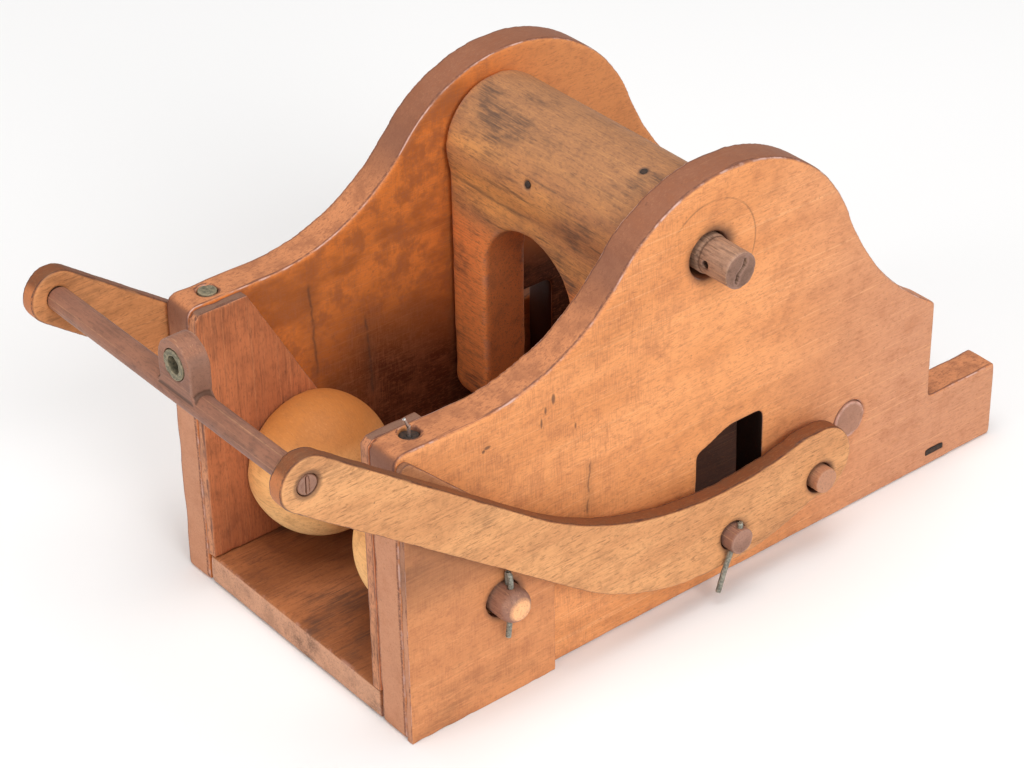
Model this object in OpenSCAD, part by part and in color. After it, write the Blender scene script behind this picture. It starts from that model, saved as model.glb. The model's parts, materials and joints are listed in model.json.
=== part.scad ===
// Wooden bench press: two hump-backed cheeks, a swinging yoke, two balls on an axle and a lifting bail.
// X runs across, Y from the open front to the tail, Z up. The origin is the centre of the base.

/* [Cheeks] */
// Length of each cheek board along the base
cheek_length = 256; // [200:1:320]
// Thickness of each cheek board
cheek_thickness = 12.7; // [8:0.1:18]
// Clear width between the cheeks
inner_width = 93; // [80:1:130]
// Height of the front shoulder
shoulder_height = 104; // [85:1:125]
// Height of the hump
hump_height = 152; // [140:1:190]
// Radius of the hump
hump_radius = 55.4; // [48:0.1:70]
// Distance of the hump's top from the front
hump_from_front = 129.4; // [110:0.1:160]
// Radius of the hollow between shoulder and hump
front_cove_radius = 70; // [40:1:90]
// Radius of the hollow behind the hump
rear_cove_radius = 105; // [80:1:140]
// Length of the low tail behind the notch
tail_length = 32.5; // [15:0.5:60]
// Height of the low tail
tail_height = 29; // [18:1:45]
// Height of the step above the tail
step_height = 66.4; // [50:0.1:80]
// Rounding of the front top corner
shoulder_rounding = 4; // [1:0.5:10]

/* [Floor] */
// Thickness of the floor board
floor_thickness = 11; // [6:0.5:16]
// Length of a cut nail
nail_length = 30; // [20:1:40]
// Long side of a cut nail's head
nail_head_length = 8.5; // [4:0.5:12]
// Short side of a cut nail's head
nail_head_width = 2.2; // [1.5:0.1:4]
// Distance of each end nail from the board's end
nail_inset = 28; // [20:1:60]

/* [Liners and pad] */
// Thickness of the liners inside the cheeks
liner_thickness = 4; // [2:0.5:6]
// Length of a liner along its top
liner_top_length = 20; // [10:1:40]
// Length of a liner along the floor
liner_bottom_length = 70; // [50:1:90]
// Thickness of the pad outside the right cheek
pad_thickness = 2.8; // [1.5:0.1:5]
// Length of the pad along the base
pad_length = 56.5; // [48:0.5:80]
// Height of the pad's rear edge
pad_rear_height = 51.5; // [46:0.5:54]
// Slope of the pad's upper edge
pad_slope = 43.8; // [40:0.1:45]
// Rounding of the pad's nose
pad_rounding = 2.5; // [1:0.1:4]

/* [Windows] */
// Distance of the window's front edge from the front
window_from_front = 118; // [100:0.5:140]
// Length of the window
window_length = 27.5; // [20:0.5:40]
// Height of the window
window_height = 39.5; // [34:0.5:48]
// Gap left under the lift pin
window_pin_gap = 0.6; // [0.3:0.1:2]
// Rounding of the window's corners
window_rounding = 2; // [1:0.5:6]
// Length of the worn slope at the window's upper front corner
window_slope_length = 15; // [8:0.5:18]
// Height of that slope
window_slope_height = 5.5; // [3:0.5:8]

/* [Yoke] */
// Distance of the yoke's shaft from the front
shaft_from_front = 121.5; // [105:0.5:150]
// Height of the yoke's shaft
shaft_height = 125; // [112:0.5:140]
// Radius of the shaft
shaft_radius = 6.6; // [4:0.1:9]
// Length of the shaft's free end
stub_length = 13; // [8:0.1:30]
// Radius of the shaft's free end
stub_radius = 6.2; // [3:0.1:6.2]
// Shoulder of the shaft between the cheek and the free end
stub_shoulder = 0.3; // [0.2:0.1:2]
// Radius of the cross hole in the free end
cross_hole_radius = 1.3; // [0.6:0.1:2.5]
// Distance of the cross hole from the cheek
cross_hole_offset = 3.6; // [2:0.1:8]
// Radius of the hub
hub_radius = 21; // [15:0.5:24]
// Distance of the slab's front face from the shaft
slab_offset = 19.5; // [12:0.1:20]
// Thickness of the slab and its legs
slab_thickness = 17.5; // [10:0.5:25]
// Drop of the legs below the shaft
leg_drop = 91; // [70:1:100]
// Width of the arch between the legs
arch_width = 43; // [30:1:56]
// Sideways offset of the arch
arch_offset = -6; // [-10:0.5:10]
// Drop of the arch's crown below the shaft
arch_drop = 16.3; // [10:0.1:30]
// Rounding of the legs' lower corners
leg_rounding = 5; // [1:0.5:8]
// Side gap between yoke and cheek
yoke_side_gap = 1; // [0.5:0.1:3]
// Radius of the nails that pin the hub to its shaft
hub_nail_radius = 1.2; // [0.8:0.1:2]

/* [Balls] */
// Distance of the ball axle from the front
axle_from_front = 36.7; // [30:0.1:40]
// Height of the ball axle
axle_height = 38; // [36:0.5:45]
// Radius of the ball axle
axle_radius = 5.8; // [4:0.1:7.2]
// Reach of the axle's domed ends beyond the boards
axle_reach = 9; // [8:0.5:14]
// Length of the axle cotters' tails below the axle's middle
axle_cotter_tail = 12.5; // [8:0.1:20]
// Radius of each ball
ball_radius = 24; // [18:0.5:24]
// Distance of each ball's outer flat from the ball's middle
ball_flat = 9; // [6:0.5:15]
// Distance that the right ball has slid away from its liner
ball_slide = 8; // [0:0.5:9]

/* [Bail] */
// Distance of the bail's pivot from the front
pivot_from_front = 163.2; // [150:0.1:180]
// Height of the bail's pivot
pivot_height = 28.6; // [24:0.1:40]
// Radius of the pivot pegs
peg_radius = 4.5; // [3:0.1:6]
// Reach of the pivot pegs beyond the arms
peg_reach = 3; // [1:0.5:6]
// Thickness of each arm
arm_thickness = 6.4; // [4:0.1:9]
// Gap between an arm and the board beside it
arm_gap = 0.5; // [0.4:0.1:2]
// Lowest height of the arm's lower edge
arm_low = 12.7; // [8:0.1:20]
// Depth of the arm at its lowest place
arm_depth = 29.6; // [20:0.1:36]
// Radius of the arm's lower edge
arm_lower_radius = 100; // [90:1:120]
// Radius of the arm's upper edge
arm_upper_radius = 130; // [115:1:150]
// Slope of the arm's straight front stretch
arm_slope = 36.8; // [30:0.1:42]
// Radius of the arm's rear end
arm_end_radius = 13.4; // [10:0.1:16]
// Reach of the crossbar in front of the cheeks
bail_reach = 36.5; // [25:0.5:60]
// Radius of the crossbar
crossbar_radius = 4; // [3:0.1:6]
// Radius of the crossbar's tenons
tenon_radius = 3.4; // [2:0.1:5]
// Radius of the crossbar's eye
eye_radius = 8.2; // [7:0.1:12]
// Rise of the eye's centre above the crossbar
eye_rise = 11.5; // [6:0.5:14]
// Sideways place of the eye
eye_offset = 9.5; // [-10:0.5:15]
// Thickness of the eye across its hole
eye_thickness = 7.5; // [5:0.1:10]
// Outer radius of the metal eyelet
eyelet_outer_radius = 5; // [4:0.1:6]
// Bore radius of the metal eyelet
eyelet_bore_radius = 2.7; // [1.5:0.1:3.5]

/* [Lift pin] */
// Distance of the lift pin from the front
lift_pin_from_front = 125; // [118:0.1:140]
// Height of the lift pin
lift_pin_height = 23.2; // [18:0.1:30]
// Radius of the lift pin
lift_pin_radius = 4.6; // [3:0.1:6]
// Reach of the lift pin beyond the arms
lift_pin_reach = 4.4; // [4:0.1:8]
// Length of the lift pin cotters' tails below the pin's axis
pin_cotter_tail = 18; // [8:0.5:24]
// Lean of the lift pin cotters' tails towards the tail of the press
pin_cotter_lean = 10; // [0:1:20]
// Radius of a cotter's wire
cotter_radius = 0.9; // [0.5:0.1:1.4]

/* [Small pieces] */
// Distance of the rear stretcher from the front
stretcher_from_front = 185.5; // [178:0.5:200]
// Height of the rear stretcher
stretcher_height = 36.5; // [30:0.5:45]
// Radius of the rear stretcher
stretcher_radius = 6.6; // [4:0.1:8]
// Radius of the pins in the cheeks' front tops
top_pin_radius = 3.3; // [2:0.1:4.5]
// Depth of the pins in the cheeks' front tops
top_pin_depth = 14; // [8:1:25]
// Distance of the top pins from the front
top_pin_from_front = 12; // [8:0.5:20]
// Distance of the right top pin from its cheek's inner face
right_pin_inset = 3.9; // [3.5:0.1:9]

/* [Fits] */
// Radial clearance of a running fit
running_clearance = 0.08; // [0.03:0.01:0.1]
// Radial clearance of a driven fit
seat_clearance = 0.02; // [0.01:0.01:0.05]

/* [Hidden] */
$fn = 96;

// Places along Y, from the middle of the base
front = -cheek_length / 2;
rear = cheek_length / 2;
hump_y = front + hump_from_front;
notch_y = rear - tail_length;
shaft_y = front + shaft_from_front;
axle_y = front + axle_from_front;
pivot_y = front + pivot_from_front;
lift_pin_y = front + lift_pin_from_front;
stretcher_y = front + stretcher_from_front;
top_pin_y = front + top_pin_from_front;

// Places across X
inner_x = inner_width / 2;
outer_x = inner_x + cheek_thickness;
pad_x = outer_x + pad_thickness;
left_arm_x = -outer_x - arm_gap - arm_thickness;
right_arm_x = pad_x + arm_gap;
right_pin_x = inner_x + right_pin_inset;
ball_wall_gap = 0.5;
ball_wall_x = inner_x - liner_thickness - ball_wall_gap;

// Small shared sizes
cut = 1;
arc_steps = 24;
wire_radius = 0.6;
loop_ratio = 1.4;

function point_on(centre, radius, angle) = centre + radius * [cos(angle), sin(angle)];
function arc(centre, radius, from, to) =
    [for (i = [0 : arc_steps]) point_on(centre, radius, from + (to - from) * i / arc_steps)];
function direction(from, to) = atan2(to[1] - from[1], to[0] - from[0]);

// The cheek's outline is a hump between two hollows, each tangent to it
hump_centre = [hump_y, hump_height - hump_radius];
front_cove_z = shoulder_height + front_cove_radius;
front_cove_dz = front_cove_z - hump_centre[1];
front_cove_dy = sqrt(pow(hump_radius + front_cove_radius, 2) - pow(front_cove_dz, 2));
front_cove_centre = [hump_y - front_cove_dy, front_cove_z];

// The rear hollow passes through the step's corner
step_corner = [notch_y, step_height];
step_span = norm(step_corner - hump_centre);
rear_sum = hump_radius + rear_cove_radius;
rear_along = (pow(rear_sum, 2) - pow(rear_cove_radius, 2) + pow(step_span, 2)) / (2 * step_span);
rear_across = sqrt(pow(rear_sum, 2) - pow(rear_along, 2));
step_direction = (step_corner - hump_centre) / step_span;
rear_cove_centre = hump_centre + rear_along * step_direction
    + rear_across * [-step_direction[1], step_direction[0]];

// The arm's two edges are arcs that run into parallel straight stretches
arm_lower_centre = [lift_pin_y - 4, arm_low + arm_lower_radius];
arm_upper_centre = [lift_pin_y - 3, arm_low + arm_depth + arm_upper_radius];
arm_end_centre = [pivot_y, pivot_height + 5];
arm_bend = point_on(arm_lower_centre, arm_lower_radius, 270 - arm_slope);
arm_bend_above = point_on(arm_upper_centre, arm_upper_radius, 270 - arm_slope);

// The crossbar stands midway between the straight edges, which the arm's front end rounds off
arm_front_radius = (arm_bend_above - arm_bend) * [sin(arm_slope), cos(arm_slope)] / 2;
crossbar_y = front - bail_reach;
crossbar_z = arm_bend[1] + (arm_bend[0] - crossbar_y) * tan(arm_slope) + arm_front_radius / cos(arm_slope);
eye_z = crossbar_z + eye_rise;

// Draws a side view outline as a board from X = x to X = x + thickness
module board(x, thickness) {
    translate([x, 0, 0]) rotate([90, 0, 90]) linear_extrude(thickness) children();
}

// Rod along X between two places
module rod_x(y, z, radius, x_from, x_to) {
    translate([x_from, y, z]) rotate([0, 90, 0]) cylinder(r = radius, h = x_to - x_from);
}

module rounded_rectangle(corner, size, radius) {
    translate(corner + [radius, radius]) {
        translate([-radius, 0]) square([size[0], size[1] - 2 * radius]);
        translate([0, -radius]) square([size[0] - 2 * radius, size[1]]);
        for (y = [0, size[0] - 2 * radius], z = [0, size[1] - 2 * radius])
            translate([y, z]) circle(radius, $fn = 32);
    }
}

module cheek_outline() {
    corner = [front + shoulder_rounding, shoulder_height - shoulder_rounding];
    front_turn = direction(front_cove_centre, hump_centre);
    rear_turn = direction(rear_cove_centre, hump_centre);
    step_turn = direction(rear_cove_centre, step_corner);
    polygon(concat(
        [[rear, 0], [rear, tail_height], [notch_y, tail_height]],
        arc(rear_cove_centre, rear_cove_radius, 360 + step_turn, 360 + rear_turn),
        arc(hump_centre, hump_radius, rear_turn + 180, front_turn + 180),
        arc(front_cove_centre, front_cove_radius, front_turn, -90),
        arc(corner, shoulder_rounding, 90, 180),
        [[front, 0]]));
}

// Window that leaves the lift pin room to swing about the pivot pegs
module window_outline() {
    bottom = lift_pin_height - lift_pin_radius - window_pin_gap;
    corner = [front + window_from_front, bottom + window_height];
    difference() {
        rounded_rectangle([corner[0], bottom], [window_length, window_height], window_rounding);
        polygon([corner - [cut, window_slope_height], corner + [0, -window_slope_height],
            corner + [window_slope_length, 0], corner + [window_slope_length, cut], corner + [-cut, cut]]);
    }
}

// Cut nail that points towards -X, with the outer face of its head at X = x
module cut_nail(x, y, z, play) {
    shank_length = 3;
    shank_width = nail_head_width - 0.4;
    head_depth = 1.2;
    beyond = play > 0 ? cut : 0;
    translate([x - head_depth - play, y - nail_head_length / 2 - play, z - nail_head_width / 2 - play])
        cube([head_depth + play + beyond, nail_head_length + 2 * play, nail_head_width + 2 * play]);
    translate([x - nail_length - play, y - shank_length / 2 - play, z - shank_width / 2 - play])
        cube([nail_length - head_depth + play, shank_length + 2 * play, shank_width + 2 * play]);
}

module floor_nail_set(play) {
    for (side = [0, 1], y = [front + nail_inset, rear - nail_inset])
        mirror([side, 0, 0]) cut_nail(outer_x, y, floor_thickness / 2, play);
}

// One cheek on the +X side, with the hole for its top pin at X = pin_x
module cheek(pin_x) {
    difference() {
        board(inner_x, cheek_thickness) cheek_outline();
        board(inner_x - cut, cheek_thickness + 2 * cut) window_outline();
        rod_x(shaft_y, shaft_height, shaft_radius + running_clearance, inner_x - cut, outer_x + cut);
        rod_x(axle_y, axle_height, axle_radius + seat_clearance, inner_x - cut, outer_x + cut);
        rod_x(pivot_y, pivot_height, peg_radius + seat_clearance, inner_x - cut, outer_x + cut);
        rod_x(stretcher_y, stretcher_height, stretcher_radius + seat_clearance, inner_x - cut, outer_x + cut);
        translate([pin_x, top_pin_y, shoulder_height - top_pin_depth])
            cylinder(r = top_pin_radius + seat_clearance, h = top_pin_depth + cut);
        floor_nail_set(seat_clearance);
    }
}

module left_cheek() { color("peru") mirror([1, 0, 0]) cheek((inner_x + outer_x) / 2); }
module right_cheek() { color("peru") cheek(right_pin_x); }

module floor_board() {
    color("saddlebrown") difference() {
        translate([-inner_x, front, 0]) cube([inner_width, cheek_length, floor_thickness]);
        floor_nail_set(seat_clearance);
    }
}

// Thin board inside a cheek, with a slanted rear edge and a rounded front edge
module liner() {
    top = shoulder_height - 0.6;
    chamfer = 2;
    difference() {
        board(inner_x - liner_thickness, liner_thickness)
            polygon([[front, floor_thickness], [front + liner_bottom_length, floor_thickness],
                [front + liner_top_length, top], [front + chamfer, top], [front, top - chamfer]]);
        rod_x(axle_y, axle_height, axle_radius + seat_clearance,
            inner_x - 2 * liner_thickness, inner_x + cut);
    }
}

module left_liner() { color("sienna") mirror([1, 0, 0]) liner(); }
module right_liner() { color("sienna") liner(); }

// Doubling plate whose upper edge slopes down from a rounded nose to its rear edge
module right_pad() {
    slope_front_z = pad_rear_height + pad_length * tan(pad_slope);
    nose = [front + pad_rounding,
        slope_front_z - pad_rounding * tan(pad_slope) - pad_rounding / cos(pad_slope)];
    color("peru") difference() {
        board(outer_x, pad_thickness)
            polygon(concat([[front, 0], [front + pad_length, 0], [front + pad_length, pad_rear_height]],
                arc(nose, pad_rounding, 90 - pad_slope, 180)));
        rod_x(axle_y, axle_height, axle_radius + seat_clearance, outer_x - cut, pad_x + cut);
    }
}

module rear_stretcher() {
    color("rosybrown") rod_x(stretcher_y, stretcher_height, stretcher_radius, -outer_x, outer_x);
}

module floor_nails() { color("dimgray") floor_nail_set(0); }

module left_top_pin() {
    color("darkkhaki") translate([-(inner_x + outer_x) / 2, top_pin_y, shoulder_height - top_pin_depth])
        cylinder(r = top_pin_radius, h = top_pin_depth);
}

// The right pin sits low in its hole and holds the stub of a wire
top_pin_sunk = 1.5;
wire_seat_depth = 5;

module right_top_pin() {
    color("dimgray") translate([right_pin_x, top_pin_y, shoulder_height - top_pin_depth])
        difference() {
            cylinder(r = top_pin_radius, h = top_pin_depth - top_pin_sunk);
            translate([0, 0, top_pin_depth - top_pin_sunk - wire_seat_depth])
                cylinder(r = wire_radius + seat_clearance, h = wire_seat_depth + cut, $fn = 24);
        }
}

module wire_stub() {
    straight = wire_seat_depth + 3.5;
    bent = 4;
    lean = 24;
    foot_z = shoulder_height - top_pin_sunk - wire_seat_depth;
    color("silver") translate([right_pin_x, top_pin_y, foot_z]) {
        cylinder(r = wire_radius, h = straight, $fn = 24);
        translate([0, 0, straight - wire_radius]) rotate([lean, 0, 0])
            cylinder(r = 0.9 * wire_radius, h = bent, $fn = 24);
    }
}

module left_pivot_peg() {
    color("rosybrown") rod_x(pivot_y, pivot_height, peg_radius, left_arm_x - peg_reach, -inner_x);
}

module right_pivot_peg() {
    end_x = right_arm_x + arm_thickness + peg_reach;
    color("rosybrown") rod_x(pivot_y, pivot_height, peg_radius, inner_x, end_x);
}

// Rod along X with rounded ends
module domed_rod(y, z, radius, x_from, x_to) {
    length = x_to - x_from;
    flat = radius / 6;
    rounding = radius - flat;
    turn = [0 : 15 : 90];
    translate([x_from, y, z]) rotate([0, 90, 0]) rotate_extrude()
        polygon(concat([[0, 0]],
            [for (a = turn) [flat + rounding * sin(a), rounding * (1 - cos(a))]],
            [for (a = turn) [flat + rounding * cos(a), length - rounding * (1 - sin(a))]],
            [[0, length]]));
}

// The cotters stand through the axle outside the boards
left_axle_cotter_x = -outer_x - axle_reach / 3;
right_axle_cotter_x = pad_x + axle_reach / 3;

module ball_axle() {
    color("brown") difference() {
        domed_rod(axle_y, axle_height, axle_radius, -outer_x - axle_reach, pad_x + axle_reach);
        for (x = [left_axle_cotter_x, right_axle_cotter_x])
            cotter_hole(x, axle_y, axle_height, 0, axle_radius);
    }
}

module cotter_hole(x, y, z, lean, rod_radius) {
    translate([x, y, z]) rotate([lean, 0, 0])
        cylinder(r = cotter_radius + seat_clearance, h = 2 * rod_radius + 2 * cut, center = true, $fn = 24);
}

// Wire cotter through a rod, with its tail down and a small loop above
module cotter(x, y, z, lean, rod_radius, tail) {
    loop_z = rod_radius + cotter_radius;
    translate([x, y, z]) rotate([lean, 0, 0]) {
        translate([0, 0, -tail]) cylinder(r = cotter_radius, h = tail + loop_z, $fn = 24);
        translate([0, 0, loop_z]) sphere(r = loop_ratio * cotter_radius, $fn = 24);
    }
}

module axle_cotter(x) {
    color("darkolivegreen") cotter(x, axle_y, axle_height, 0, axle_radius, axle_cotter_tail);
}

module left_axle_cotter() { axle_cotter(left_axle_cotter_x); }
module right_axle_cotter() { axle_cotter(right_axle_cotter_x); }

// Holes for the two nails that hold the hub to its shaft
hub_nail_seats = [[-4, 12], [34, 75]];
hub_nail_reach = 3;

module hub_nail_rods(radius, top) {
    for (seat = hub_nail_seats)
        translate([seat[0], shaft_y, shaft_height]) rotate([90 - seat[1], 0, 0])
            translate([0, 0, hub_nail_reach]) cylinder(r = radius, h = top - hub_nail_reach, $fn = 24);
}

module yoke() {
    half = inner_x - yoke_side_gap;
    slab_front = shaft_y - slab_offset;
    arch_z = shaft_height - arch_drop - arch_width / 2;
    leg_end = shaft_height - leg_drop;
    color("chocolate") difference() {
        union() {
            rod_x(shaft_y, shaft_height, hub_radius, -half, half);
            translate([0, slab_front + slab_thickness, 0]) rotate([90, 0, 0]) linear_extrude(slab_thickness)
                difference() {
                    rounded_rectangle([-half, leg_end], [2 * half, leg_drop + leg_rounding], leg_rounding);
                    translate([arch_offset, arch_z]) circle(d = arch_width);
                    translate([arch_offset - arch_width / 2, leg_end - cut])
                        square([arch_width, arch_z - leg_end + cut]);
                }
        }
        rod_x(shaft_y, shaft_height, shaft_radius + seat_clearance, -half - cut, half + cut);
        hub_nail_rods(hub_nail_radius + seat_clearance, hub_radius + cut);
    }
}

module yoke_shaft() {
    stub_x = outer_x + stub_shoulder;
    color("gray") difference() {
        union() {
            rod_x(shaft_y, shaft_height, shaft_radius, -outer_x, stub_x);
            rod_x(shaft_y, shaft_height, stub_radius, 0, stub_x + stub_length);
        }
        translate([outer_x + cross_hole_offset, shaft_y, shaft_height]) rotate([90, 0, 0])
            cylinder(r = cross_hole_radius, h = 2 * shaft_radius + 2 * cut, center = true, $fn = 32);
        hub_nail_rods(hub_nail_radius + seat_clearance, hub_radius + cut);
    }
}

module hub_nails() {
    sunk = 0.3;
    color("dimgray") hub_nail_rods(hub_nail_radius, hub_radius - sunk);
}

// Turned ball with its bore along X and one flat, which faces -X
module ball() {
    difference() {
        rotate([0, 90, 0]) sphere(r = ball_radius, $fn = 128);
        translate([-ball_flat - 2 * ball_radius, -ball_radius - cut, -ball_radius - cut])
            cube([2 * ball_radius, 2 * (ball_radius + cut), 2 * (ball_radius + cut)]);
        rod_x(0, 0, axle_radius + running_clearance, -ball_radius, ball_radius + cut);
    }
}

module left_ball() {
    color("burlywood") translate([ball_flat - ball_wall_x, axle_y, axle_height]) ball();
}

module right_ball() {
    color("burlywood") translate([ball_wall_x - ball_flat - ball_slide, axle_y, axle_height])
        mirror([1, 0, 0]) ball();
}

// Side view of an arm, round at its front end and blunt round the pivot at its rear
module arm_outline() {
    bend = 270 - arm_slope;
    end_low = -80;
    end_high = 100;
    lower_turn = direction(arm_lower_centre, arm_end_centre + [0, -arm_end_radius]) + 360;
    upper_turn = direction(arm_upper_centre, arm_end_centre + [-arm_end_radius / 2, arm_end_radius]) + 360;
    front_turn = 90 - arm_slope;
    polygon(concat(
        arc(arm_lower_centre, arm_lower_radius, bend, lower_turn),
        arc(arm_end_centre, arm_end_radius, end_low, end_high),
        arc(arm_upper_centre, arm_upper_radius, upper_turn, bend),
        arc([crossbar_y, crossbar_z], arm_front_radius, front_turn, front_turn + 180)));
}

// One arm with its holes, from X = x
module arm(x) {
    difference() {
        board(x, arm_thickness) arm_outline();
        rod_x(pivot_y, pivot_height, peg_radius + running_clearance, x - cut, x + arm_thickness + cut);
        rod_x(lift_pin_y, lift_pin_height, lift_pin_radius + seat_clearance,
            x - cut, x + arm_thickness + cut);
        rod_x(crossbar_y, crossbar_z, tenon_radius + seat_clearance, x - cut, x + arm_thickness + cut);
    }
}

module left_arm() { color("tan") arm(left_arm_x); }
module right_arm() { color("tan") arm(right_arm_x); }

// Wedge in the end of a tenon; side is -1 for left and 1 for right
module wedge_in(side, play) {
    wedge_thickness = 1;
    wedge_depth = 4.5;
    end_x = side > 0 ? right_arm_x + arm_thickness : left_arm_x;
    inner_end = side > 0 ? end_x - wedge_depth : end_x;
    half_height = 0.88 * tenon_radius + play;
    translate([inner_end - (side < 0 && play > 0 ? cut : play),
        crossbar_y - wedge_thickness / 2 - play, crossbar_z - half_height])
        cube([wedge_depth + play + (play > 0 ? cut : 0), wedge_thickness + 2 * play, 2 * half_height]);
}

module crossbar() {
    eye_back = crossbar_y + crossbar_radius;
    flare = 3;
    color("rosybrown") difference() {
        union() {
            rod_x(crossbar_y, crossbar_z, crossbar_radius, left_arm_x + arm_thickness, right_arm_x);
            rod_x(crossbar_y, crossbar_z, tenon_radius, left_arm_x, right_arm_x + arm_thickness);
            translate([eye_offset, eye_back, 0]) rotate([90, 0, 0]) linear_extrude(eye_thickness) {
                translate([0, eye_z]) circle(eye_radius);
                polygon([[-eye_radius - flare, crossbar_z], [eye_radius + flare, crossbar_z],
                    [eye_radius, crossbar_z + crossbar_radius], [eye_radius, eye_z],
                    [-eye_radius, eye_z], [-eye_radius, crossbar_z + crossbar_radius]]);
            }
        }
        translate([eye_offset, eye_back + cut, eye_z]) rotate([90, 0, 0])
            cylinder(r = eyelet_outer_radius + seat_clearance, h = eye_thickness + 2 * cut);
        for (side = [-1, 1]) wedge_in(side, seat_clearance);
    }
}

module eyelet() {
    proud = 0.3;
    color("darkkhaki") translate([eye_offset, crossbar_y + crossbar_radius + proud, eye_z]) rotate([90, 0, 0])
        difference() {
            cylinder(r = eyelet_outer_radius, h = eye_thickness + 2 * proud);
            translate([0, 0, -cut]) cylinder(r = eyelet_bore_radius, h = eye_thickness + 2 * proud + 2 * cut);
        }
}

module tenon_wedges() {
    color("brown") for (side = [-1, 1]) wedge_in(side, 0);
}

left_pin_cotter_x = left_arm_x - lift_pin_reach / 2;
right_pin_cotter_x = right_arm_x + arm_thickness + lift_pin_reach / 2;

module lift_pin() {
    color("rosybrown") difference() {
        rod_x(lift_pin_y, lift_pin_height, lift_pin_radius,
            left_arm_x - lift_pin_reach, right_arm_x + arm_thickness + lift_pin_reach);
        for (x = [left_pin_cotter_x, right_pin_cotter_x])
            cotter_hole(x, lift_pin_y, lift_pin_height, -pin_cotter_lean, lift_pin_radius);
    }
}

module pin_cotter(x) {
    color("darkolivegreen")
        cotter(x, lift_pin_y, lift_pin_height, -pin_cotter_lean, lift_pin_radius, pin_cotter_tail);
}

module left_pin_cotter() { pin_cotter(left_pin_cotter_x); }
module right_pin_cotter() { pin_cotter(right_pin_cotter_x); }

left_cheek();
right_cheek();
floor_board();
left_liner();
right_liner();
right_pad();
rear_stretcher();
floor_nails();
left_top_pin();
right_top_pin();
wire_stub();
left_pivot_peg();
right_pivot_peg();
ball_axle();
left_axle_cotter();
right_axle_cotter();
yoke();
yoke_shaft();
hub_nails();
left_ball();
right_ball();
left_arm();
right_arm();
crossbar();
eyelet();
tenon_wedges();
lift_pin();
left_pin_cotter();
right_pin_cotter();
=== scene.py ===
import json
import math

import bpy
import numpy as np
from mathutils import Matrix, Vector, noise


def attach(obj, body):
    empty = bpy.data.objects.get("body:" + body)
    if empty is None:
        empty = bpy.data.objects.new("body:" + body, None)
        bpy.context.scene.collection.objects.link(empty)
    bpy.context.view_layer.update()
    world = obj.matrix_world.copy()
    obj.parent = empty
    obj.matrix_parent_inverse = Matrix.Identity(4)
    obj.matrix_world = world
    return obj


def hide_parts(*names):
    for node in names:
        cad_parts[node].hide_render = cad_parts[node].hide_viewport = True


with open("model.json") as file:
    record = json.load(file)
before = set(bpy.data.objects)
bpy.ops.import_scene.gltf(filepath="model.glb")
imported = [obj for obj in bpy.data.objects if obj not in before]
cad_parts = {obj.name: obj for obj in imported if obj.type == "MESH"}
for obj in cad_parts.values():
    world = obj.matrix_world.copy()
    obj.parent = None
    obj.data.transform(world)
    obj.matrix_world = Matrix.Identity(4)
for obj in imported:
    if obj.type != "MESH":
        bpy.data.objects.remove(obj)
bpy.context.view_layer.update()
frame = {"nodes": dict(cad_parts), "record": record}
record = frame["record"]
mm = 0.001
bodyOf = {n: body for body, group in record["behaviour"]["bodies"].items() for n in group}


# shader helpers

class Value:
    # a node's output that Python's operators work on
    def __init__(self, paint, link):
        self.paint = paint
        self.link = link

    def calc(self, operation, *terms):
        return self.paint.node("ShaderNodeMath", {"operation": operation}, dict(enumerate(terms)))

    def __add__(self, other):
        return self.calc("ADD", self, other)

    def __sub__(self, other):
        return self.calc("SUBTRACT", self, other)

    def __rsub__(self, other):
        return self.calc("SUBTRACT", other, self)

    def __mul__(self, other):
        return self.calc("MULTIPLY", self, other)

    def __truediv__(self, other):
        return self.calc("DIVIDE", self, other)

    def __abs__(self):
        return self.calc("ABSOLUTE", self)

    def __or__(self, other):
        return self.calc("MAXIMUM", self, other)

    __radd__ = __add__
    __rmul__ = __mul__


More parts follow.
